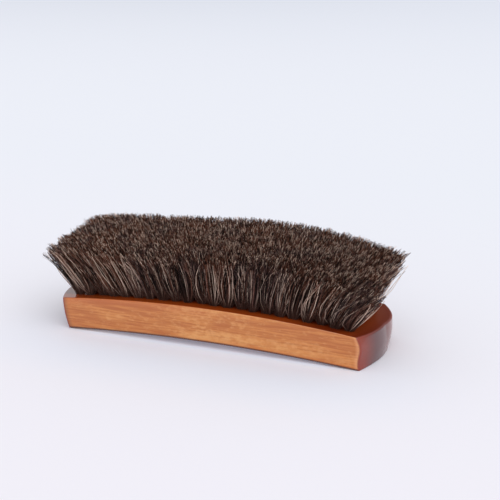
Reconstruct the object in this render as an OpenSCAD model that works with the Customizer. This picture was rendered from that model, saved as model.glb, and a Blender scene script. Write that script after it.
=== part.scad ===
// Shoe shine brush: a bowed hardwood block with its holes filled by staple-set tufts of horsehair.
// It lies on its back with the hair up. Sizes are in millimetres.
// +X runs along the brush, +Z out of the bristle face, and the origin is the middle of the resting plane.

/* [Block] */
// Length of the long sides, from corner to corner
side_len = 154; // [152:1:160]
// Width of the block
block_w = 50.6; // [50:0.2:53]
// Thickness of the block at the ends of its long sides
end_thick = 16.3; // [15:0.1:18]
// Rise of the bristle face between its ends
face_bow = 4.2; // [3:0.1:6]
// Depth of the hollow along the back
back_bow = 3; // [2:0.1:4]
// Bulge of each end in plan
end_bulge = 6.8; // [5.6:0.2:7.6]
// Size of the flat that eases each long arris of the face
arris_ease = 0.6; // [0.2:0.1:1]
// Size of the flat that eases each long arris of the back
back_ease = 0.3; // [0.2:0.1:1]

/* [Ends] */
// Distance that the left end draws in towards the back
left_draw = 2.6; // [0:0.2:3]
// Distance that the left end swells at half its height
left_swell = 0; // [0:0.2:1]
// Distance that the right end draws in towards the back, less than 0 where it stands out
right_draw = -0.4; // [-0.8:0.2:3]
// Distance that the right end swells at half its height
right_swell = 1; // [0:0.2:1.2]

/* [Tuft holes] */
// Number of columns of tufts along the brush
columns = 22; // [16:1:22]
// Number of lengthwise rows of tufts
rows = 7; // [3:2:7]
// Distance between columns
column_pitch = 6.75; // [6.6:0.05:7]
// Distance between lengthwise rows
row_pitch = 6.1; // [5.8:0.1:6.6]
// Diameter of a tuft hole
hole_d = 4.2; // [3.6:0.1:4.4]
// Depth of a tuft hole below the face
hole_depth = 9; // [7:0.5:10]
// Outward lean of the holes at the two ends, in degrees
lean_ends = 8; // [0:1:10]
// Outward lean of the holes along the two sides, in degrees
lean_sides = 10; // [0:1:12]

/* [Hair] */
// Height of the trimmed hair above the floor at the middle
hair_top = 51.5; // [46:0.5:58]
// Fall of the trimmed hair from the middle to each end
hair_fall = 7.6; // [4:0.2:10]
// Fall of the trimmed hair from the middle to each side
hair_round = 2.5; // [2:0.5:8]
// Rise of the trimmed hair from the near side to the far side
hair_tilt = 5; // [0:0.5:7]
// Half the length of the field of hair tips
tip_half_len = 87; // [80:1:92]
// Half the width of the field of hair tips
tip_half_w = 26.6; // [22:0.2:29]
// Number of locks that each tuft opens into
locks = 3; // [2:1:3]
// Radius of a lock where it leaves its tuft
lock_root_r = 0.75; // [0.5:0.05:0.8]
// Radius of a lock at its tip
lock_tip_r = 0.95; // [0.4:0.05:1]
// Distance of a lock's tip from the middle of its tuft
lock_fan = 2.8; // [2:0.1:2.8]
// Scatter of the lock tips
tip_scatter = 0.5; // [0:0.1:0.5]

/* [Anchors] */
// Thickness of the flat wire that an anchor is cut from
anchor_thick = 0.4; // [0.3:0.1:0.6]
// Height of an anchor
anchor_high = 1.8; // [1.2:0.2:2.4]
// Bite of an anchor into the wood at each side of its hole
anchor_bite = 0.25; // [0.1:0.05:0.4]

/* [Hidden] */
half_len = side_len / 2;
half_w = block_w / 2;
// Room above and below the block for the shapes that cut it
spare = 12;
slab_high = end_thick + face_bow + spare;

// A circle's radius from half its chord and its rise
function arc_radius(half_chord, rise) = (pow(half_chord, 2) + pow(rise, 2)) / (2 * rise);
face_r = arc_radius(half_len, face_bow);
back_r = arc_radius(half_len, back_bow);
end_r = arc_radius(half_w, end_bulge);
// The middle of each end's arc lies this far from the middle of the brush
end_centre = half_len + end_bulge - end_r;

drum_fn = 720;
end_fn = 180;
hole_fn = 48;
end_steps = 8;

// The hair fills its hole but for this gap, and rises this far before it opens
hair_gap = 0.04;
plug_rise = 1.4;
lock_sink = 0.8;
lock_offset = 1.2;
// The anchor lies this far above the bottom of its hole, across the brush
anchor_lift = 1;
anchor_len = hole_d + 2 * anchor_bite;
anchor_gap = 0.05;
mouth = 2;

// The outermost tuft centres, and how much wider the tufts stand at their tips
seat_half_len = (columns - 1) / 2 * column_pitch;
seat_half_w = (rows - 1) / 2 * row_pitch;
splay_x = (tip_half_len - tip_scatter - lock_fan) / seat_half_len;
splay_y = (tip_half_w - tip_scatter - lock_fan) / seat_half_w;
// A lock's three rings of corners lie at these shares of its height
lock_rings = [0, 0.5, 1];
lock_sides = 3;
// Power that bends a lock outward as it rises
lock_bend = 1.35;
// Degrees per millimetre, along X and Y, of the waves that scatter a lock's tip in X, Y and Z
scatter_x = [131, 57];
scatter_y = [83, -149];
scatter_z = [211, 97];

wood = [0.68, 0.38, 0.20];
hair = [0.27, 0.21, 0.18];
wire = [0.72, 0.73, 0.74];

function two_digits(n) = n < 10 ? str("0", n) : str(n);
function tuft_name(i) = str("tuft_row_", two_digits(i));
function anchor_name(i) = str("anchor_row_", two_digits(i));

// Height of the bristle face at x
function face_z(x) = end_thick + face_bow - face_r + sqrt(pow(face_r, 2) - pow(x, 2));

// The tuft centres of one column, in a zigzag across the brush, where odd rows lie half a pitch on
function column_x(i) = (i - (columns + 1) / 2) * column_pitch;
function seats(i) = [
    for (j = [0:rows - 1])
        if (j % 2 == 0 || i < columns)
            [column_x(i) + (j % 2) * column_pitch / 2, (j - (rows - 1) / 2) * row_pitch]
];

// Lean of a hole: along X first, then along Y, in degrees
function lean(p) = [lean_ends * p.x / seat_half_len, lean_sides * p.y / seat_half_w];

// Height of the trimmed hair over a point
function tip_z(p) = hair_top
    - hair_fall * pow(p.x / tip_half_len, 2)
    - hair_round * pow(abs(p.y) / tip_half_w, 3)
    + hair_tilt * p.y / tip_half_w / 2;

// How far an end stands out from its plain arc, from the back at 0 to the face at 1
function end_out(t, draw, swell) = swell * sin(180 * t) - draw * pow(1 - t, 2);

// Places its children at a tuft's hole: Z runs up the hole, with 0 at the face
module at_seat(p) {
    tilt = lean(p);
    translate([p.x, p.y, face_z(p.x)])
        rotate([-tilt.y, tilt.x, 0])
            children();
}

// A drum on a Y axis. Its rim slopes in at both sides, at a slope of -1, or flares out, at 1.
// The slope starts one ease inside the block's sides and runs on to over outside them.
module drum(r, slope, ease, over) {
    inner_y = half_w - ease;
    outer_y = half_w + over;
    outer_r = r + slope * (outer_y - inner_y);
    rotate([90, 0, 0])
        rotate_extrude($fn = drum_fn)
            polygon([
                [0, outer_y], [outer_r, outer_y], [r, inner_y],
                [r, -inner_y], [outer_r, -outer_y], [0, -outer_y]
            ]);
}

// The block's outline at its right end: an upright round form, and all that lies to its left
module end_form(draw, swell) {
    bands = [
        for (k = [0:end_steps])
            let (t = k / end_steps)
                [end_r + end_out(t, draw, swell), t * end_thick]
    ];
    top_r = bands[end_steps].x;
    translate([end_centre, 0, 0])
        rotate_extrude($fn = end_fn)
            polygon(concat([[0, 0]], bands, [[top_r, slab_high], [0, slab_high]]));
    translate([-2 * half_len, -block_w, 0])
        cube([2 * half_len + end_centre, 2 * block_w, slab_high]);
}

// The block before it is drilled, with a flat land at each end of its hollow back
module blank() {
    difference() {
        intersection() {
            end_form(right_draw, right_swell);
            mirror([1, 0, 0])
                end_form(left_draw, left_swell);
            translate([0, 0, end_thick + face_bow - face_r])
                drum(face_r, -1, arris_ease, 0);
        }
        translate([0, 0, back_bow - back_r])
            drum(back_r, 1, back_ease, 2);
    }
}

// One anchor: a flat bit of wire, on edge across its hole
module anchor(grow) {
    translate([0, 0, -hole_depth + anchor_lift + anchor_high / 2])
        cube([anchor_thick + 2 * grow, anchor_len, anchor_high + 2 * grow], center = true);
}

module wooden_block() {
    color(wood)
        difference() {
            blank();
            for (i = [1:columns])
                for (p = seats(i))
                    at_seat(p) {
                        translate([0, 0, -hole_depth])
                            cylinder(d = hole_d, h = hole_depth + mouth, $fn = hole_fn);
                        anchor(0);
                    }
        }
}

// One lock of hair, from root to tip: a thin three-sided strand that bends outward
module lock(root, tip, turn) {
    corners = [
        for (t = lock_rings)
            for (s = [0:lock_sides - 1])
                let (
                    r = lock_root_r + (lock_tip_r - lock_root_r) * t,
                    out = pow(t, lock_bend),
                    a = turn + 360 * s / lock_sides
                )
                    [
                        root.x + (tip.x - root.x) * out + r * cos(a),
                        root.y + (tip.y - root.y) * out + r * sin(a),
                        root.z + (tip.z - root.z) * t
                    ]
    ];
    walls = [
        for (k = [0:len(lock_rings) - 2])
            for (s = [0:lock_sides - 1])
                let (
                    a = lock_sides * k + s,
                    b = lock_sides * k + (s + 1) % lock_sides
                )
                    each [[a, a + lock_sides, b + lock_sides], [a, b + lock_sides, b]]
    ];
    last = len(corners) - 1;
    polyhedron(corners, concat([[0, 1, 2]], walls, [[last, last - 1, last - 2]]));
}

// A tuft: its packed root, slotted for the anchor, and the locks that it opens into
module tuft(p) {
    difference() {
        at_seat(p)
            translate([0, 0, -hole_depth])
                cylinder(r = hole_d / 2 - hair_gap, h = hole_depth + plug_rise, $fn = hole_fn);
        at_seat(p)
            anchor(anchor_gap);
    }
    turn = p.x > 0 || (p.x == 0 && p.y > 0) ? 90 : 270;
    rise = plug_rise - lock_sink;
    tilt = lean(p);
    lean_out = rise * [tan(tilt.x), tan(tilt.y)];
    for (k = [0:locks - 1]) {
        a = turn + 360 * k / locks;
        out = [cos(a), sin(a)];
        foot = p + lock_offset * out;
        scatter = tip_scatter * [sin(scatter_x * foot), sin(scatter_y * foot)];
        tip = [p.x * splay_x, p.y * splay_y] + lock_fan * out + scatter;
        rough = tip_scatter * cos(scatter_z * foot);
        root = [foot.x + lean_out.x, foot.y + lean_out.y, face_z(p.x) + rise];
        lock(root, [tip.x, tip.y, tip_z(tip) + rough], turn);
    }
}

module tuft_row(i) {
    color(hair)
        for (p = seats(i))
            tuft(p);
}

module anchor_row(i) {
    color(wire)
        for (p = seats(i))
            at_seat(p)
                anchor(0);
}

wooden_block();
for (i = [1:columns]) tuft_row(i);
for (i = [1:columns]) anchor_row(i);
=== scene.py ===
# %% [markdown]
# # A shoe shine brush, hair up
#
# A bowed hardwood block, lacquered, holds 151 tufts of dark horsehair that are trimmed to one low crown.
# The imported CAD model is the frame: it gives the true sizes and the places of the holes. This lesson
# dresses it. The block gets soft corners and lacquered wood, and each column of tufts becomes real hair.

# %% Load the frame
import math

import bpy
from mathutils import Matrix, Vector


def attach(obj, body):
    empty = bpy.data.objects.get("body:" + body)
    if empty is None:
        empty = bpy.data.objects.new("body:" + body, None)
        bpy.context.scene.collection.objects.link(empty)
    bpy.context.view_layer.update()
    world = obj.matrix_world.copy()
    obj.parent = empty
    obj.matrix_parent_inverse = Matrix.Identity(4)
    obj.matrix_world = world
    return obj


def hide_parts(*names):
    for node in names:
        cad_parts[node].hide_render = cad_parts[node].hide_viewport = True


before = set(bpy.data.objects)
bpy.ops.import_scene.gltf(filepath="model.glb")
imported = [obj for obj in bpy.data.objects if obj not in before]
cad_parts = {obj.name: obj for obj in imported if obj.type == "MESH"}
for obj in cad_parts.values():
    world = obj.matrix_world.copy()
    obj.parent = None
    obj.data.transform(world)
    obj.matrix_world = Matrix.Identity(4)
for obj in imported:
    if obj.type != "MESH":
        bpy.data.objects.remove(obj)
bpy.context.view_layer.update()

# %% [markdown]
# ## Sizes
#
# The block is drawn from a few arcs: the bristle face is convex, the back is hollow and each end bulges.
# They are the same sizes as the CAD model's, in millimetres, and the last step of each node tree turns
# them into metres. A radius follows from half a chord and the rise of its arc. The last few, from LEFT_OUT
# on, are finer than the CAD model: they shape the ends a little further and round the arrises.

# %% The block's sizes
MM = 0.001
HALF_LEN = 77.0
HALF_W = 25.3
END_THICK = 16.3
FACE_BOW = 4.2
BACK_BOW = 3.0
END_BULGE = 6.8
LEFT_DRAW, LEFT_SWELL = 2.6, 0.0
RIGHT_DRAW, RIGHT_SWELL = -0.4, 1.0
LEFT_OUT, FAR_RIGHT_OUT = 0.9, 1.8
CORNER_ROLL = 1.3
ARRIS_ROUND = 0.5


def arc_radius(half_chord, rise):
    return (half_chord ** 2 + rise ** 2) / (2 * rise)


FACE_R = arc_radius(HALF_LEN, FACE_BOW)
BACK_R = arc_radius(HALF_LEN, BACK_BOW)
END_R = arc_radius(HALF_W, END_BULGE)
END_CENTRE = HALF_LEN + END_BULGE - END_R
print("arc radii in mm", round(FACE_R, 1), round(BACK_R, 1), round(END_R, 1))

# %% The tufts' sizes
COLUMNS = 22
ROWS = 7
COLUMN_PITCH = 6.75
ROW_PITCH = 6.1
HOLE_R = 2.1
ROOT_SINK = 1.0
HAIR_RADIUS = 0.112
TIP_HALF_LEN = 87.0
TIP_HALF_W = 26.6
SEAT_HALF_LEN = (COLUMNS - 1) / 2 * COLUMN_PITCH
SEAT_HALF_W = (ROWS - 1) / 2 * ROW_PITCH
column_x = [(i - (COLUMNS - 1) / 2) * COLUMN_PITCH for i in range(COLUMNS)]
print("columns from", column_x[0], "to", column_x[-1])

# %% [markdown]
# ## The camera
#
# The camera was fitted to the straight edges and the end arcs of the block. It stands to the right of the
# brush, about 21 degrees above the floor, and looks a little past the brush's middle. A long lens keeps the
# far end nearly as large as the near one. Its axes are written as a matrix: right, up and back. A Track To
# constraint would also turn it, but it needs an extra object to aim at.

# %% Place the camera
CAMERA_AZ, CAMERA_EL, CAMERA_FAR = math.radians(22.917), math.radians(21.002), 0.56467
AIM_AZ, AIM_EL = math.radians(21.462), math.radians(16.834)
LENS, SENSOR_WIDTH = 79.76, 36


def direction(az, el):
    return Vector((math.sin(az) * math.cos(el), -math.cos(az) * math.cos(el), math.sin(el)))


back_axis = direction(AIM_AZ, AIM_EL)
right_axis = Vector((math.cos(AIM_AZ), math.sin(AIM_AZ), 0))
up_axis = back_axis.cross(right_axis)
camera_data = bpy.data.cameras.new("camera")
camera_data.lens = LENS
camera_data.sensor_width = SENSOR_WIDTH
camera_data.clip_start = 0.01
camera = bpy.data.objects.new("camera", camera_data)
bpy.context.scene.collection.objects.link(camera)
turn = Matrix((right_axis, up_axis, back_axis)).transposed().to_4x4()
camera.matrix_world = Matrix.Translation(direction(CAMERA_AZ, CAMERA_EL) * CAMERA_FAR) @ turn
bpy.context.scene.camera = camera
print("camera at", [round(c, 3) for c in camera.location])

# %% [markdown]
# ## Arithmetic in a node tree
#
# A shape that follows a formula needs many Math nodes. They could be placed and linked one by one, but the
# formula would be lost among them. The small class below lets the script write it as plain arithmetic: each
# plus, minus or power adds one Math node to the tree and links it.

# %% Numbers that are sockets
class Num:
    """A number in a node tree. Arithmetic on it adds Math nodes."""

    def __init__(self, tree, socket):
        self.tree, self.socket = tree, socket

    def math(self, operation, *values, swap=False):
        node = self.tree.nodes.new("ShaderNodeMath")
        node.operation = operation
        terms = (self,) + values
        for place, term in enumerate(reversed(terms) if swap else terms):
            if isinstance(term, Num):
                self.tree.links.new(term.socket, node.inputs[place])
            else:
                node.inputs[place].default_value = term
        return Num(self.tree, node.outputs[0])

    def __add__(self, other):
        return self.math("ADD", other)

    def __sub__(self, other):
        return self.math("SUBTRACT", other)

    def __rsub__(self, other):
        return self.math("SUBTRACT", other, swap=True)

    def __mul__(self, other):
        return self.math("MULTIPLY", other)

    def __truediv__(self, other):
        return self.math("DIVIDE", other)

    def __pow__(self, other):
        return self.math("POWER", other)

    def floor(self):
        return self.math("FLOOR")

    def sqrt(self):
        return self.math("SQRT")

    def sin(self):
        return self.math("SINE")

    def abs(self):
        return self.math("ABSOLUTE")

    def above(self, limit):
        return self.math("GREATER_THAN", limit)

    def least(self, other):
        return self.math("MINIMUM", other)

    def most(self, other):
        return self.math("MAXIMUM", other)


print("arithmetic ready")


# %% Nodes with their inputs set
def socket(sockets, name):
    """The socket of that name that is in use: some nodes have one of each data type."""
    return next(s for s in sockets if s.name == name and s.enabled)


def add_node(tree, kind, inputs=None, **settings):
    """A new node with its settings, its constants and its links made."""
    node = tree.nodes.new(kind)
    for name, value in settings.items():
        setattr(node, name, value)
    for name, value in (inputs or {}).items():
        target = socket(node.inputs, name)
        if isinstance(value, Num):
            tree.links.new(value.socket, target)
        elif isinstance(value, bpy.types.NodeSocket):
            tree.links.new(value, target)
        else:
            target.default_value = value
    return node


def vector(tree, x, y, z):
    """Three numbers as one vector socket."""
    return add_node(tree, "ShaderNodeCombineXYZ", {"X": x, "Y": y, "Z": z}).outputs[0]


def split(tree, place):
    """The three numbers of a vector socket."""
    parts = add_node(tree, "ShaderNodeSeparateXYZ", {"Vector": place})
    return [Num(tree, part) for part in parts.outputs]


print("node helpers ready")

# %% [markdown]
# ## From a node tree to a plain mesh
#
# Every Geometry Nodes tree here ends alike: its instances are made real and it is given its material, because
# an export keeps neither instances nor live nodes. The tree could stay on its object as a modifier. It is run
# once instead, and only the mesh that it makes is kept.


# %% Trees that start and end alike
def new_tree(name, inputs):
    """A Geometry Nodes tree with its named inputs, and the node that gives them."""
    tree = bpy.data.node_groups.new(name, "GeometryNodeTree")
    tree.interface.new_socket("Geometry", in_out="OUTPUT", socket_type="NodeSocketGeometry")
    for label, kind in inputs.items():
        tree.interface.new_socket(label, in_out="INPUT", socket_type="NodeSocket" + kind)
    return tree, tree.nodes.new("NodeGroupInput")


def keep_value(tree, geometry, name, value, data_type="FLOAT"):
    """Keeps a value on the points of a mesh or curve, where a material can read it."""
    return add_node(tree, "GeometryNodeStoreNamedAttribute", {
        "Geometry": geometry, "Name": name, "Value": value,
    }, data_type=data_type, domain="POINT").outputs[0]


def end_tree(tree, geometry, material):
    """Smooth shading, plain geometry and a material, sent out of the tree."""
    smooth = add_node(tree, "GeometryNodeSetShadeSmooth", {"Geometry": geometry})
    whole = add_node(tree, "GeometryNodeRealizeInstances", {"Geometry": smooth.outputs[0]})
    dressed = add_node(tree, "GeometryNodeSetMaterial", {
        "Geometry": whole.outputs[0], "Material": material,
    })
    out = tree.nodes.new("NodeGroupOutput")
    tree.links.new(dressed.outputs[0], out.inputs[0])
    return tree


def bake_nodes(name, tree, values, extra=None):
    """Runs a Geometry Nodes tree on a new object, then keeps only the plain mesh that it makes."""
    holder = bpy.data.objects.new(name + "_maker", bpy.data.meshes.new(name + "_maker"))
    bpy.context.scene.collection.objects.link(holder)
    modifier = holder.modifiers.new("maker", "NODES")
    modifier.node_group = tree
    for item in tree.interface.items_tree:
        if item.item_type == "SOCKET" and item.in_out == "INPUT" and item.name in values:
            modifier[item.identifier] = values[item.name]
    if extra:
        extra(holder)
    evaluated = holder.evaluated_get(bpy.context.evaluated_depsgraph_get())
    mesh = bpy.data.meshes.new_from_object(evaluated)
    mesh.name = name
    bpy.data.objects.remove(holder)
    piece = bpy.data.objects.new(name, mesh)
    bpy.context.scene.collection.objects.link(piece)
    return piece


print("tree helpers ready")

# %% [markdown]
# ## The wooden block
#
# The real block is sawn to two arcs along its length, its ends are rounded on a sander, and the lacquer
# softens every arris. It could be cut with Booleans, but those leave long thin faces that shade badly. A cube
# with many vertices can take all of the shape: each vertex has a share of the length, the width and the
# thickness, and the formula sends it to its place. The shares stay on the mesh as an attribute, because the
# stain differs between the sides, the face and the ends.

# %% The block's node tree
END_ZONE = 0.9
CORNER_ZONE = 0.3


def block_tree(material):
    tree, given = new_tree("bowed_block", {
        "Vertices Long": "Int", "Vertices Wide": "Int", "Vertices Thick": "Int",
    })
    cube = add_node(tree, "GeometryNodeMeshCube", {
        "Size": (2, 2, 2),
        "Vertices X": given.outputs["Vertices Long"],
        "Vertices Y": given.outputs["Vertices Wide"],
        "Vertices Z": given.outputs["Vertices Thick"],
    })
    place = tree.nodes.new("GeometryNodeInputPosition").outputs[0]
    kept = keep_value(tree, cube.outputs["Mesh"], "share", place, "FLOAT_VECTOR")
    u, v, w = split(tree, place)
    height = w * 0.5 + 0.5
    right = u.above(0)
    swell = (height * math.pi).sin() * (right * (RIGHT_SWELL - LEFT_SWELL) + LEFT_SWELL)
    draw = (1 - height) ** 2 * (right * (RIGHT_DRAW - LEFT_DRAW) + LEFT_DRAW)
    reach = swell - draw + END_R
    y = v * HALF_W
    plain_x = u * ((reach ** 2 - y ** 2).sqrt() + END_CENTRE)
    near_end = (u.abs() - END_ZONE).most(0) / (1 - END_ZONE)
    corner = ((v * -1 - CORNER_ZONE).most(0) / (1 - CORNER_ZONE)) ** 3
    roll = corner * (height * 2 * math.pi).sin() * -CORNER_ROLL
    low = corner * (1 - height) * CORNER_ROLL
    far = (v.most(0) * math.pi).sin() * height * FAR_RIGHT_OUT
    x = plain_x + near_end * (right * (roll * 0.6 + low + far) - (1 - right) * LEFT_OUT)
    top = (FACE_R ** 2 - x ** 2).sqrt() + (END_THICK + FACE_BOW - FACE_R)
    bottom = ((BACK_R ** 2 - x ** 2).sqrt() + (BACK_BOW - BACK_R)).most(0)
    z = bottom + (top - bottom) * height
    moved = add_node(tree, "GeometryNodeSetPosition", {
        "Geometry": kept, "Position": vector(tree, x * MM, y * MM, z * MM),
    })
    return end_tree(tree, moved.outputs[0], material)


print("an end's corner is shaped over its last", round(HALF_LEN * (1 - END_ZONE), 1), "mm")

# %% [markdown]
# ## Lacquered wood
#
# The sides are orange-brown with fine lengthwise grain. The bristle face and the ends took more stain and
# are red-brown, and the back shows a broader, wavy grain. A clear gloss coat lies over all. Some colours also
# carry painted light: highlights and reflections on the sides and ends, and shade along the lower arris. The
# grain could be painted on an image, but noise that is stretched along the block also runs right over its
# corners. One node group makes all the grain, and the colours below say what each part of the block does with
# it.

# %% The grain group
GRAIN_ALONG, GRAIN_ACROSS = 55.0, 1100.0
GRAIN_VALUES = ("Fibre", "Band", "Fleck", "Ripple")


def grain_group():
    """Fine fibres, slow bands, short flecks and a wavy figure along X: puts out 0 to 1 values."""
    tree = bpy.data.node_groups.new("wood_grain", "ShaderNodeTree")
    for name in ("Along", "Across"):
        tree.interface.new_socket(name, in_out="INPUT", socket_type="NodeSocketFloat")
    for name in GRAIN_VALUES:
        tree.interface.new_socket(name, in_out="OUTPUT", socket_type="NodeSocketFloat")
    given = tree.nodes.new("NodeGroupInput")
    out = tree.nodes.new("NodeGroupOutput")
    spot = tree.nodes.new("ShaderNodeTexCoord").outputs["Object"]
    along = Num(tree, given.outputs["Along"])
    across = Num(tree, given.outputs["Across"])

    def noise(long, wide, detail, rough, distort=0.0):
        """Noise that is stretched along X: long and wide multiply how often it changes."""
        scaled = add_node(tree, "ShaderNodeVectorMath", operation="MULTIPLY")
        tree.links.new(spot, scaled.inputs[0])
        tree.links.new(vector(tree, along * long, across * wide, across * wide), scaled.inputs[1])
        return add_node(tree, "ShaderNodeTexNoise", {
            "Vector": scaled.outputs[0], "Scale": 1.0, "Detail": detail, "Roughness": rough,
            "Distortion": distort,
        }).outputs["Fac"]

    made = (noise(1.0, 1.0, 3.0, 0.6), noise(0.35, 0.13, 2.0, 0.5, 0.6),
            noise(7, 0.7, 2.0, 0.5), noise(3, 0.8, 2.0, 0.5, 1.0))
    for name, value in zip(GRAIN_VALUES, made):
        tree.links.new(value, out.inputs[name])
    return tree


grain = grain_group()
print("grain group puts out", GRAIN_VALUES)


# %% Colours and how they mix
def mix_colour(tree, factor, first, second):
    """One colour over another, by a factor."""
    node = add_node(tree, "ShaderNodeMix", {"Factor": factor, "A": first, "B": second}, data_type="RGBA")
    return socket(node.outputs, "Result")


def ramp_up(value, low, high):
    """0 below low, 1 above high, and smooth between them."""
    node = add_node(value.tree, "ShaderNodeMapRange", {
        "Value": value, "From Min": low, "From Max": high,
    }, interpolation_type="SMOOTHSTEP")
    return Num(value.tree, socket(node.outputs, "Result"))


def srgb(red, green, blue):
    """A colour that is written as 0 to 255 values, as the linear colour that a shader takes."""
    linear = [c / 12.92 if c <= 0.04045 else ((c + 0.055) / 1.055) ** 2.4
              for c in (red / 255, green / 255, blue / 255)]
    return (*linear, 1.0)


def new_material(name, **constants):
    """A material with a Principled shader, whose constants are set by name."""
    material = bpy.data.materials.new(name)
    material.use_nodes = True
    shader = material.node_tree.nodes["Principled BSDF"]
    for label, value in constants.items():
        shader.inputs[label.replace("_", " ")].default_value = value
    return material, material.node_tree, shader


print("middle grey is", round(srgb(128, 128, 128)[0], 3), "as a linear value")

# %% The stain of the sides, with painted highlights, reflection and shade
SIDE_PALE = srgb(214, 136, 66)
SIDE_DEEP = srgb(182, 98, 36)
SIDE_RED = srgb(196, 100, 50)
SIDE_GOLD = srgb(234, 172, 104)
# Painted highlight: light caught on the rounded top arris.
SIDE_ARRIS_HIGHLIGHT = srgb(240, 170, 120)
# Painted reflection: amber light along the foot, from the floor seen in the lower arris.
SIDE_FOOT_REFLECTION = srgb(206, 108, 20)
# Painted highlight on the right end's vertical arris.
SIDE_CORNER_HIGHLIGHT = srgb(244, 176, 124)
# Darker at the left end, and painted shade along the lower arris.
SIDE_DARK_END_AND_SHADE = srgb(76, 36, 20)


def side_stain_and_painted_light(tree, u, w, fibre, band, fleck):
    """Grain, golden flecks, a redder top and a darker left end, with painted light: a reflection along the
    foot, highlights on the top arris and the right corner, and shade along the lower arris.
    """
    stain = mix_colour(tree, ramp_up(fibre * 0.6 + band * 0.4, 0.34, 0.66), SIDE_DEEP, SIDE_PALE)
    gold = ramp_up(fleck * 0.55 + band * 0.45, 0.46, 0.7) * (1 - u.abs() * 0.5)
    stain = mix_colour(tree, gold * 0.6, stain, SIDE_GOLD)
    top = ramp_up(w + band * 0.5 - 0.25, 0.35, 0.9) * ramp_up(u * -1, -0.6, 0.6)
    stain = mix_colour(tree, top * 0.4, stain, SIDE_RED)
    # Painted highlight along the top arris, where its round catches the light.
    arris_highlight = ramp_up(w, 0.93, 0.99) * ramp_up(u, -0.5, 0.3)
    stain = mix_colour(tree, arris_highlight * 0.4, stain, SIDE_ARRIS_HIGHLIGHT)
    # Painted reflection: the amber band along the foot stands in for floor light in the lower arris.
    foot_reflection = (1 - ramp_up(w, -0.95, -0.7)) * ramp_up(u + band * 0.6 - 0.3, -0.2, 0.5)
    stain = mix_colour(tree, foot_reflection * 0.9, stain, SIDE_FOOT_REFLECTION)
    # Painted highlight along the right end's vertical arris.
    stain = mix_colour(tree, ramp_up(u, 0.965, 0.988) * 0.4, stain, SIDE_CORNER_HIGHLIGHT)
    # Darker towards the left end, and painted shade on the lower arris, where it faces the floor.
    dark_end_and_shade = (ramp_up(u * -1, 0.96, 0.998) * 0.45).most((1 - ramp_up(w, -0.93, -0.84)) * 0.95)
    return mix_colour(tree, dark_end_and_shade, stain, SIDE_DARK_END_AND_SHADE)


print("side runs from", SIDE_DEEP[:3], "to", SIDE_PALE[:3])

# %% The stains of the back and the face, and of the ends under a painted reflection
BACK_TAN = srgb(200, 114, 58)
BACK_DEEP = srgb(160, 78, 30)
FACE_RED = srgb(108, 33, 6)
FACE_WARM = srgb(134, 52, 12)
FACE_FRONT = srgb(150, 61, 13)
# END_RED is the ends' stain; with END_DARK and the rim it also makes a painted reflection across each end.
END_RED = srgb(140, 46, 22)
END_DARK = srgb(86, 34, 32)
END_RIM_HIGHLIGHT = srgb(160, 100, 92)


def back_stain(tree, u, ripple, band):
    """A wavy tan, golden at one end and redder where it nears both ends."""
    stain = mix_colour(tree, ramp_up(ripple * 0.7 + band * 0.3, 0.35, 0.65), BACK_DEEP, BACK_TAN)
    stain = mix_colour(tree, ramp_up(u * -1 + band - 0.5, 0.35, 0.85) * 0.5, stain, SIDE_GOLD)
    return mix_colour(tree, ramp_up(u.abs(), 0.93, 1) * 0.5, stain, END_RED)


def face_stain(tree, u, v, fibre):
    """Dark red among the hair, and warmer along its front and before the right end."""
    warm = ramp_up(u + fibre * 0.04, 0.84, 0.92) * (1 - ramp_up(u, 0.92, 0.99) * 0.8)
    strip = (1 - ramp_up(v, -0.85, -0.65)) * (1 - ramp_up(u, 0.5, 0.9))
    return mix_colour(tree, strip, mix_colour(tree, warm, FACE_RED, FACE_WARM), FACE_FRONT)


def end_stain_and_reflection(tree, v, w):
    """Red-brown stain under a painted reflection: red at the near corner, then dark, and a painted highlight
    round the far side and along the top.
    """
    stain = mix_colour(tree, ramp_up(v, -1, -0.45), END_RED, END_DARK)
    # Painted highlight round the far side and along the top arris of the end.
    rim = (ramp_up(v, -0.3, 0.5) * 0.7).most(ramp_up(w, 0.9, 1) * 0.5)
    return mix_colour(tree, rim, stain, END_RIM_HIGHLIGHT)


print("face is", FACE_RED[:3])


# %% The wood itself
def wood_material():
    material, tree, shader = new_material(
        "lacquered_wood", Coat_Roughness=0.1, Coat_IOR=1.6, Specular_IOR_Level=0.1)
    grains = add_node(tree, "ShaderNodeGroup", node_tree=grain)
    grains.inputs["Along"].default_value = GRAIN_ALONG
    grains.inputs["Across"].default_value = GRAIN_ACROSS
    fibre, band, fleck, ripple = (Num(tree, grains.outputs[name]) for name in GRAIN_VALUES)
    share = add_node(tree, "ShaderNodeAttribute", attribute_name="share")
    u, v, w = split(tree, share.outputs["Vector"])
    side = ramp_up(v.abs(), 0.985, 0.998)
    end = ramp_up(u.abs(), 0.985, 0.999)
    back = 1 - ramp_up(w, -0.99, -0.9)
    colour = mix_colour(tree, back, face_stain(tree, u, v, fibre), back_stain(tree, u, ripple, band))
    colour = mix_colour(tree, side, colour, side_stain_and_painted_light(tree, u, w, fibre, band, fleck))
    colour = mix_colour(tree, end, colour, end_stain_and_reflection(tree, v, w))
    tree.links.new(colour, shader.inputs["Base Color"])
    dull = ramp_up(w, 0.9, 0.97) * (1 - side) * ramp_up(u, -0.75, -0.2)
    tree.links.new((dull * 0.25 + 0.42).socket, shader.inputs["Roughness"])
    tree.links.new((1 - dull * 0.95).socket, shader.inputs["Coat Weight"])
    return material


wood = wood_material()
print("wood uses", len(wood.node_tree.nodes), "nodes")


# %% Make the block
def soften(holder):
    """A small round on every arris, as sanding and lacquer leave it."""
    bevel = holder.modifiers.new("soft_arris", "BEVEL")
    bevel.width = ARRIS_ROUND * MM
    bevel.segments = 3
    bevel.limit_method = "ANGLE"
    bevel.angle_limit = math.radians(40)


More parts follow.
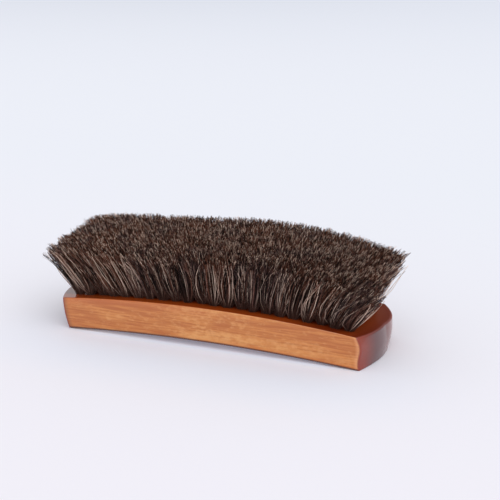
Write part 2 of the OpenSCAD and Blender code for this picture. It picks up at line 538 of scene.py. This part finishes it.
block = bake_nodes("block", block_tree(wood), {
    "Vertices Long": 161, "Vertices Wide": 49, "Vertices Thick": 15,
}, soften)
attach(block, "root")
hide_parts("wooden_block")
print("block has", len(block.data.polygons), "faces")

# %% [markdown]
# ## Horsehair
#
# Each tuft is a bundle of some three hundred hairs, folded into its hole. The hairs stand close at the root,
# splay outward as they rise, and stick together in small locks at their tips, where they are cut to one
# surface. Blender's own hair system would grow them too, but its strands would still have to be made into
# meshes. So a tree of Geometry Nodes makes a column of seven tufts: it lays out one line for each hair, bends
# it by a formula of its number and of the share along it, and gives it a three-sided body.

# %% The numbers of each hair
HAIRS = 320
LOCK_HAIRS = 4
HAIR_POINTS = 6
POINT_CROWDING = 1.5
SPACING_X, SPACING_Y = 0.754878, 0.569840


class Hairs:
    """For each point of a column: its hair, lock and tuft, the share along it, and random numbers.

    The step of a random number only keeps it apart from the others.
    """

    def __init__(self, tree, seed):
        index = Num(tree, tree.nodes.new("GeometryNodeInputIndex").outputs[0])
        self.tree, self.seed = tree, seed
        self.hair = ((index + 0.5) / HAIR_POINTS).floor()
        along = (index - self.hair * HAIR_POINTS) / (HAIR_POINTS - 1)
        self.share = 1 - (1 - along) ** POINT_CROWDING
        self.tuft = ((self.hair + 0.5) / HAIRS).floor()
        self.lock = ((self.hair + 0.5) / LOCK_HAIRS).floor()
        self.rank = self.lock - self.tuft * (HAIRS // LOCK_HAIRS)
        self.wild = self.per_hair(20, 0.0, 1.0) ** 5
        self.lock_x, self.lock_y = self.spaced(SPACING_X, 101), self.spaced(SPACING_Y, 202)

    def draw(self, number, step, low, high):
        node = add_node(self.tree, "FunctionNodeRandomValue", {
            "Min": low, "Max": high, "ID": number, "Seed": self.seed + step,
        }, data_type="FLOAT")
        return Num(self.tree, socket(node.outputs, "Value"))

    def per_hair(self, step, low=-1.0, high=1.0):
        return self.draw(self.hair, step, low, high)

    def per_lock(self, step, low=-1.0, high=1.0):
        return self.draw(self.lock, step, low, high)

    def per_tuft(self, step, low=-1.0, high=1.0):
        return self.draw(self.tuft, step, low, high)

    def spaced(self, factor, step):
        """Evenly spaced places from -1 to 1, one for each lock of a tuft."""
        run = self.rank * factor
        return (run - run.floor()) * 2 - 1 + self.per_lock(step) * 0.12


print("each tuft has", HAIRS // LOCK_HAIRS, "locks of", LOCK_HAIRS, "hairs")

# %% The trimmed surface
HAIR_BACK, HAIR_TILT, TILT_FROM = 52.0, 0.14, 22
HAIR_FALL, FALL_POWER = 7.0, 3.9
SWAY, SWAY_START, SWAY_RATE = 1.4, 13, 0.0485
HAIR_ROUND, ROUND_FROM, ROUND_OVER = 2.5, 17, 9
CORNER_DROP = 3.5
DROP_FROM_X, DROP_OVER_X = 45, 26
DROP_FROM_Y, DROP_OVER_Y = 8, 14


def crown(x, y):
    """Height of the trimmed hair over a point."""
    far_out = x / TIP_HALF_LEN
    fall = far_out.abs() ** FALL_POWER * HAIR_FALL - ((x + SWAY_START) * SWAY_RATE).sin() * SWAY
    tilt = (1 - far_out ** 2 * 0.5) * HAIR_TILT
    front = ((0 - y - ROUND_FROM) / ROUND_OVER).most(0) ** 2 * HAIR_ROUND
    right = ((x - DROP_FROM_X) / DROP_OVER_X).most(0).least(1)
    near = ((0 - y - DROP_FROM_Y) / DROP_OVER_Y).most(0).least(1)
    corner = right ** 2 * near * CORNER_DROP
    return HAIR_BACK - fall - (TILT_FROM - y) * tilt - front - corner


print("hair is cut about", HAIR_BACK, "mm above the floor at the far side")

# %% The roots of the hairs
HOLE_FILL_X, HOLE_FILL_Y = (0.45, 0.85), (0.4, 0.8)
TUFT_SHIFT_X, TUFT_SHIFT_Y = 0.5, 0.45
ROOT_SCATTER, STRAY_SCATTER = 0.35, 0.8


def hair_roots(hairs, middle, row):
    """The middle of each hair's hole, and the place in that hole where the hair starts."""
    odd = row - (row / 2).floor() * 2
    seat_x = middle + odd * (COLUMN_PITCH / 2)
    seat_y = (row - (ROWS - 1) / 2) * ROW_PITCH
    loose = hairs.per_hair(24, 0.0, 1.0) ** 4 * STRAY_SCATTER + ROOT_SCATTER
    packed_x = hairs.lock_x * hairs.per_tuft(305, *HOLE_FILL_X) * HOLE_R
    packed_y = hairs.lock_y * hairs.per_tuft(309, *HOLE_FILL_Y) * HOLE_R
    root_x = seat_x + packed_x + hairs.per_hair(1) * loose + hairs.per_tuft(306) * TUFT_SHIFT_X
    root_y = seat_y + packed_y + hairs.per_hair(2) * loose + hairs.per_tuft(310) * TUFT_SHIFT_Y
    root_z = (FACE_R ** 2 - seat_x ** 2).sqrt() + (END_THICK + FACE_BOW - FACE_R - ROOT_SINK)
    return (seat_x, seat_y), (root_x, root_y, root_z)


print("a tuft's locks reach", HOLE_FILL_X, "of its hole's radius along the brush")

# %% The tips of the hairs
EDGE_SHARE = 0.7
SPREAD_X = TIP_HALF_LEN - COLUMN_PITCH * EDGE_SHARE
SPREAD_Y = TIP_HALF_W - ROW_PITCH * EDGE_SHARE
LEAN_SHIFT_X, LEAN_SHIFT_Y = 0.7, 0.4
LOCK_FAN, HAIR_FAN = 0.5, 0.2
WILD_FAN_X, WILD_FAN_Y, WILD_LEAN = 2.5, 1.5, 0.2
SHORT_HAIR, SHORT_LOCK, TIP_ROUGH = 3, 1.5, 0.2


def hair_tips(hairs, seat, root):
    """How far each hair leans with its tuft and fans out with its lock, and the height of its tip."""
    wild = hairs.wild
    lean_x = seat[0] * (SPREAD_X / SEAT_HALF_LEN - 1) + hairs.per_tuft(301) * LEAN_SHIFT_X
    lean_y = seat[1] * (SPREAD_Y / SEAT_HALF_W - 1) + hairs.per_tuft(302) * LEAN_SHIFT_Y
    fan_x = hairs.lock_x * COLUMN_PITCH * LOCK_FAN + hairs.per_hair(3) * (wild * WILD_FAN_X + HAIR_FAN)
    fan_x = fan_x + lean_x * wild * WILD_LEAN
    fan_y = hairs.lock_y * ROW_PITCH * LOCK_FAN + hairs.per_hair(4) * (wild * WILD_FAN_Y + HAIR_FAN)
    short = hairs.per_hair(5, 0.0, 1.0) ** 7 * SHORT_HAIR + hairs.per_lock(6, 0.0, 1.0) ** 2 * SHORT_LOCK
    tip_z = crown(root[0] + lean_x + fan_x, root[1] + lean_y + fan_y)
    return (lean_x, lean_y), (fan_x, fan_y), tip_z + hairs.per_hair(7) * TIP_ROUGH - short


print("tuft middles splay to", round(SPREAD_X, 1), "mm at the ends")

# %% The path of each hair
BOW, WILD_BOW = 1.0, 5
CURL, CURL_RATE = 0.45, 7
LOCK_HOOK, HAIR_HOOK = 1.0, 0.3


def hair_path(hairs, middle, row):
    """Where each point of each hair lies: on a bowed, curled line from its root out to the crown."""
    seat, root = hair_roots(hairs, middle, row)
    lean, fan, tip_z = hair_tips(hairs, seat, root)
    share = hairs.share
    leaning = share ** hairs.per_tuft(304, 1.5, 1.9)
    fanning = share ** (hairs.per_lock(8, 0.35, 0.9) + hairs.per_tuft(307, 0.0, 0.35))
    bow = (share * math.pi).sin() * (hairs.wild * WILD_BOW + BOW)
    curl = (share * CURL_RATE + hairs.per_hair(9, 0.0, 6.28)).sin() * share
    hook = share ** 8

    def along_axis(axis, bow_step, curl_step, lock_step, hair_step):
        """The path along one axis, from random numbers of its own."""
        bowed = root[axis] + lean[axis] * leaning + fan[axis] * fanning + bow * hairs.per_hair(bow_step)
        curled = bowed + curl * hairs.per_hair(curl_step) * CURL
        end = hairs.per_lock(lock_step) * LOCK_HOOK + hairs.per_hair(hair_step) * HAIR_HOOK
        return curled + hook * end

    x, y = along_axis(0, 10, 11, 17, 18), along_axis(1, 12, 13, 19, 21)
    return x, y, root[2] + (tip_z - root[2]) * share


print("the wildest hair bows by", BOW + WILD_BOW, "mm")


# %% The tone of each hair
def hair_tone(hairs):
    """0 for the darkest hair and 1 for the palest: by single hairs along it, and more by locks at the tip."""
    own, shared = hairs.per_hair(14, 0.0, 1.0), hairs.per_lock(15, 0.0, 1.0)
    length_tone = own ** 1.9 * 0.7 + shared * 0.24 + hairs.wild * 0.12 + hairs.per_tuft(303) * 0.05 + 0.075
    tip_tone = own * 0.56 + shared * 0.4 - 0.01
    return length_tone + (tip_tone - length_tone) * hairs.share ** 6


def hair_coolness(hairs):
    """How far a hair's brown turns to grey-brown, by its tuft and its lock."""
    return hairs.per_tuft(308, 0.0, 0.5) + hairs.per_lock(23, 0.0, 0.5)


print("hair tones ready")


# %% The node tree of a column
def hair_lines(tree, count):
    """A straight line for each hair, with a few points to bend it by."""
    cloud = add_node(tree, "GeometryNodePoints", {"Count": count})
    line = add_node(tree, "GeometryNodeCurvePrimitiveLine")
    ticks = add_node(tree, "GeometryNodeResampleCurve", {"Curve": line.outputs[0], "Count": HAIR_POINTS})
    lines = add_node(tree, "GeometryNodeInstanceOnPoints", {
        "Points": cloud.outputs[0], "Instance": ticks.outputs[0],
    })
    return add_node(tree, "GeometryNodeRealizeInstances", {"Geometry": lines.outputs[0]}).outputs[0]


def hair_tree(material):
    tree, given = new_tree("column_of_tufts", {
        "Column X": "Float", "Tufts": "Int", "Tuft Step": "Int", "Seed": "Int", "Hair Radius": "Float",
    })
    middle, tufts, step, seed, radius = (
        Num(tree, given.outputs[name]) for name in ("Column X", "Tufts", "Tuft Step", "Seed", "Hair Radius"))
    hairs = Hairs(tree, seed)
    x, y, z = hair_path(hairs, middle, hairs.tuft * step)
    shaped = add_node(tree, "GeometryNodeSetPosition", {
        "Geometry": hair_lines(tree, tufts * HAIRS), "Position": vector(tree, x * MM, y * MM, z * MM),
    })
    kept = keep_value(tree, shaped.outputs[0], "tone", hair_tone(hairs))
    kept = keep_value(tree, kept, "along", hairs.share)
    kept = keep_value(tree, kept, "cool", hair_coolness(hairs))
    thick = radius * hairs.per_hair(16, 0.75, 1.25) * (hairs.wild * 0.2 + 1.1 - hairs.share * 0.3)
    profile = add_node(tree, "GeometryNodeCurvePrimitiveCircle", {"Resolution": 3, "Radius": 1.0})
    bodies = add_node(tree, "GeometryNodeCurveToMesh", {
        "Curve": kept, "Profile Curve": profile.outputs[0], "Scale": thick, "Fill Caps": True,
    })
    return end_tree(tree, bodies.outputs[0], material)


print("a hair has", HAIR_POINTS, "rings of three corners")

# %% [markdown]
# ## The hair's finish
#
# Most hairs are a dark grey-brown, and some are pale. Down in the tuft they are darker, a painted shade where
# the tuft shades itself. Blender has a shader made for hair, but the visual model can't carry it, so this is
# a plain surface with little shine. The values that the tree kept on each hair choose its colour, so the
# finish stays on the hair in every view.

# %% The hair material
HAIR_DARK = srgb(24, 12, 8)
HAIR_MID = srgb(124, 78, 60)
HAIR_COOL = srgb(105, 79, 76)
HAIR_PALE = srgb(244, 214, 194)
# Painted shade: the colour of a hair low down in its tuft.
ROOT_SHADE = srgb(82, 56, 48)


def hair_material():
    material, tree, shader = new_material("horsehair", Roughness=0.5, Specular_IOR_Level=0.14)
    tone, along, cool = (
        Num(tree, add_node(tree, "ShaderNodeAttribute", attribute_name=name).outputs["Fac"])
        for name in ("tone", "along", "cool"))
    brown = mix_colour(tree, ramp_up(cool, 0.45, 0.75), HAIR_MID, HAIR_COOL)
    colour = mix_colour(tree, ramp_up(tone, 0.32, 0.58), HAIR_DARK, brown)
    colour = mix_colour(tree, ramp_up(tone, 0.62, 0.81), colour, HAIR_PALE)
    # Painted shade: each hair darkens toward its root, down in the tuft.
    colour = mix_colour(tree, ramp_up(along, 0.0, 0.5), ROOT_SHADE, colour)
    tree.links.new(colour, shader.inputs["Base Color"])
    return material


horsehair = hair_material()
print("hair uses", len(horsehair.node_tree.nodes), "nodes")

# %% Make the columns of hair
tufts_tree = hair_tree(horsehair)
for number, middle in enumerate(column_x, start=1):
    every_other = number == COLUMNS
    column = bake_nodes(f"hair_column_{number:02d}", tufts_tree, {
        "Column X": middle,
        "Tufts": ROWS // 2 + 1 if every_other else ROWS,
        "Tuft Step": 2 if every_other else 1,
        "Seed": 1000 * number,
        "Hair Radius": HAIR_RADIUS * MM,
    })
    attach(column, "root")
    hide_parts(f"tuft_row_{number:02d}")
print("last column has", len(column.data.polygons), "faces")

# %% [markdown]
# ## The anchors
#
# A flat bit of wire holds each tuft down in its hole. Nothing of it shows, but it is a real piece of the
# brush, so it keeps its CAD shape and gets bright drawn steel. To model it again would add nothing.

# %% Steel for the anchors
steel, steel_tree, steel_shader = new_material("anchor_steel", Base_Color=srgb(200, 200, 203), Metallic=1.0)
wear = add_node(steel_tree, "ShaderNodeTexNoise", {"Scale": 900.0, "Detail": 2.0}).outputs["Fac"]
steel_tree.links.new((Num(steel_tree, wear) * 0.2 + 0.25).socket, steel_shader.inputs["Roughness"])
for name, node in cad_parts.items():
    if name.startswith("anchor_row"):
        node.data.materials.clear()
        node.data.materials.append(steel)
print("anchors dressed")

# %% [markdown]
# ## Floor and light
#
# The brush lies on a pale, faintly violet floor that runs up into the background, in broad soft light from
# above and the front, with hardly any shadow. A curved backdrop and several lamps would do, but a large flat
# floor, a pale world and one sun as wide as a soft box are plainer, and they light all of the floor alike.
# The floor's colour changes slowly with the distance and is darker at the far left, a painted falloff of the
# light. Beside the front of the brush it is tinted bluer, a painted shadow colour, and it glows a little
# under the brush, where light that is thrown back and forth would reach.

# %% Floor
FLOOR_HALF = 6.0
FLOOR_NEAR, FLOOR_MID = srgb(243, 240, 247), srgb(237, 239, 246)
# Painted falloff of light: the far floor is darker, most of all at the left.
FLOOR_FAR_LEFT, FLOOR_FAR_RIGHT = srgb(222, 225, 234), srgb(234, 237, 246)
# Painted shadow colour for the floor beside the front of the brush.
FLOOR_SHADOW_TINT = srgb(233, 239, 252)
GLOW_NONE, GLOW_UNDER = (0.0, 0.0, 0.0, 1.0), (0.11, 0.16, 0.22, 1.0)

floor_mesh = bpy.data.meshes.new("floor")
floor_mesh.from_pydata(
    [(-FLOOR_HALF, -FLOOR_HALF, 0), (FLOOR_HALF, -FLOOR_HALF, 0), (FLOOR_HALF, FLOOR_HALF, 0),
     (-FLOOR_HALF, FLOOR_HALF, 0)], [], [(0, 1, 2, 3)])
floor = bpy.data.objects.new("floor", floor_mesh)
bpy.context.scene.collection.objects.link(floor)
floor_paint, floor_tree, floor_shader = new_material(
    "floor_paint", Roughness=1.0, Specular_IOR_Level=0.0, Emission_Strength=1.0)
spot_x, spot_y, _ = split(floor_tree, add_node(floor_tree, "ShaderNodeTexCoord").outputs["Object"])
paint = mix_colour(floor_tree, ramp_up(spot_y, -0.25, 0.4), FLOOR_NEAR, FLOOR_MID)
# Painted falloff of light: the far floor darkens, most of all at the left.
far_paint = mix_colour(floor_tree, ramp_up(spot_x, -1.2, 1.2), FLOOR_FAR_LEFT, FLOOR_FAR_RIGHT)
paint = mix_colour(floor_tree, ramp_up(spot_y, 0.3, 2.5), paint, far_paint)
# Painted shadow colour: the floor beside the front of the brush is tinted bluer.
shadow_tint = (1 - ramp_up((spot_y + 0.04).abs(), 0.0, 0.05)) * (1 - ramp_up(spot_x.abs(), 0.04, 0.14))
paint = mix_colour(floor_tree, shadow_tint * 0.7, paint, FLOOR_SHADOW_TINT)
floor_tree.links.new(paint, floor_shader.inputs["Base Color"])
under = (1 - ramp_up(spot_y.abs(), 0.02, 0.036)) * (1 - ramp_up(spot_x.abs(), 0.055, 0.08))
glow = mix_colour(floor_tree, under, GLOW_NONE, GLOW_UNDER)
floor_tree.links.new(glow, floor_shader.inputs["Emission Color"])
floor_mesh.materials.append(floor_paint)
print("floor is", 2 * FLOOR_HALF, "m wide")

# %% World and sun
SUN_TOWARD, SUN_SPREAD, SUN_POWER = (0.45, -0.5, 0.85), 80, 1.21
SKY_COLOUR, SKY_STRENGTH = (0.97, 0.98, 1.0, 1), 0.72

world = bpy.data.worlds.new("studio")
bpy.context.scene.world = world
world.use_nodes = True
sky = world.node_tree.nodes["Background"]
sky.inputs["Color"].default_value = SKY_COLOUR
sky.inputs["Strength"].default_value = SKY_STRENGTH

sun_data = bpy.data.lights.new("soft_box", "SUN")
sun_data.angle = math.radians(SUN_SPREAD)
sun_data.energy = SUN_POWER
sun = bpy.data.objects.new("soft_box", sun_data)
bpy.context.scene.collection.objects.link(sun)
sun.rotation_euler = Vector(SUN_TOWARD).to_track_quat("Z", "Y").to_euler()

bpy.context.scene.view_settings.view_transform = "Standard"
print("stage ready")
